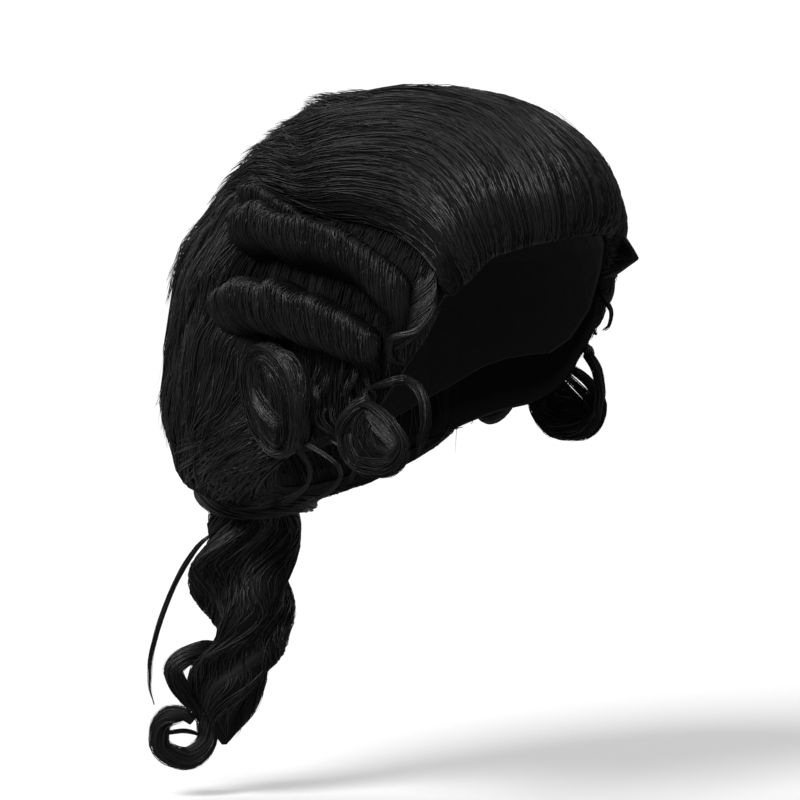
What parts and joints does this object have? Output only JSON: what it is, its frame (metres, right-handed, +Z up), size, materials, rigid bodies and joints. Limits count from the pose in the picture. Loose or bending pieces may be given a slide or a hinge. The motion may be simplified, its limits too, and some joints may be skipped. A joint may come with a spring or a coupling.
{
  "type": "black period wig with side rolls and a curled tail",
  "caption": "Black period wig: hair combed back from the face, rolls over each side, curls at the ears and temples, and a curled tail gathered at the nape.",
  "frame": {"origin": "inside top of the cap, where it sits on the crown of the head", "axes": "+Z up, -Y where the face looks, -X the wearer's right"},
  "size_m": [0.2268, 0.2752, 0.3642],
  "materials": {
    "hair": "black combed fibre with a soft sheen",
    "cap": "dark matt elastic net"
  },
  "bodies": {
    "root": {"wig_cap": "cap", "top_hair": "hair", "back_hair": "hair", "side_hair_right": "hair", "upper_roll_right": "hair", "lower_roll_right": "hair", "ear_curl_right": "hair", "temple_curl_right": "hair", "temple_ring_right": "hair", "temple_lock_right": "hair", "side_hair_left": "hair", "upper_roll_left": "hair", "lower_roll_left": "hair", "ear_curl_left": "hair", "temple_curl_left": "hair", "temple_ring_left": "hair", "temple_lock_left": "hair", "ponytail": "hair", "nape_lock": "hair", "tail_curl": "hair", "stray_lock": "hair"}
  },
  "joints": []
}
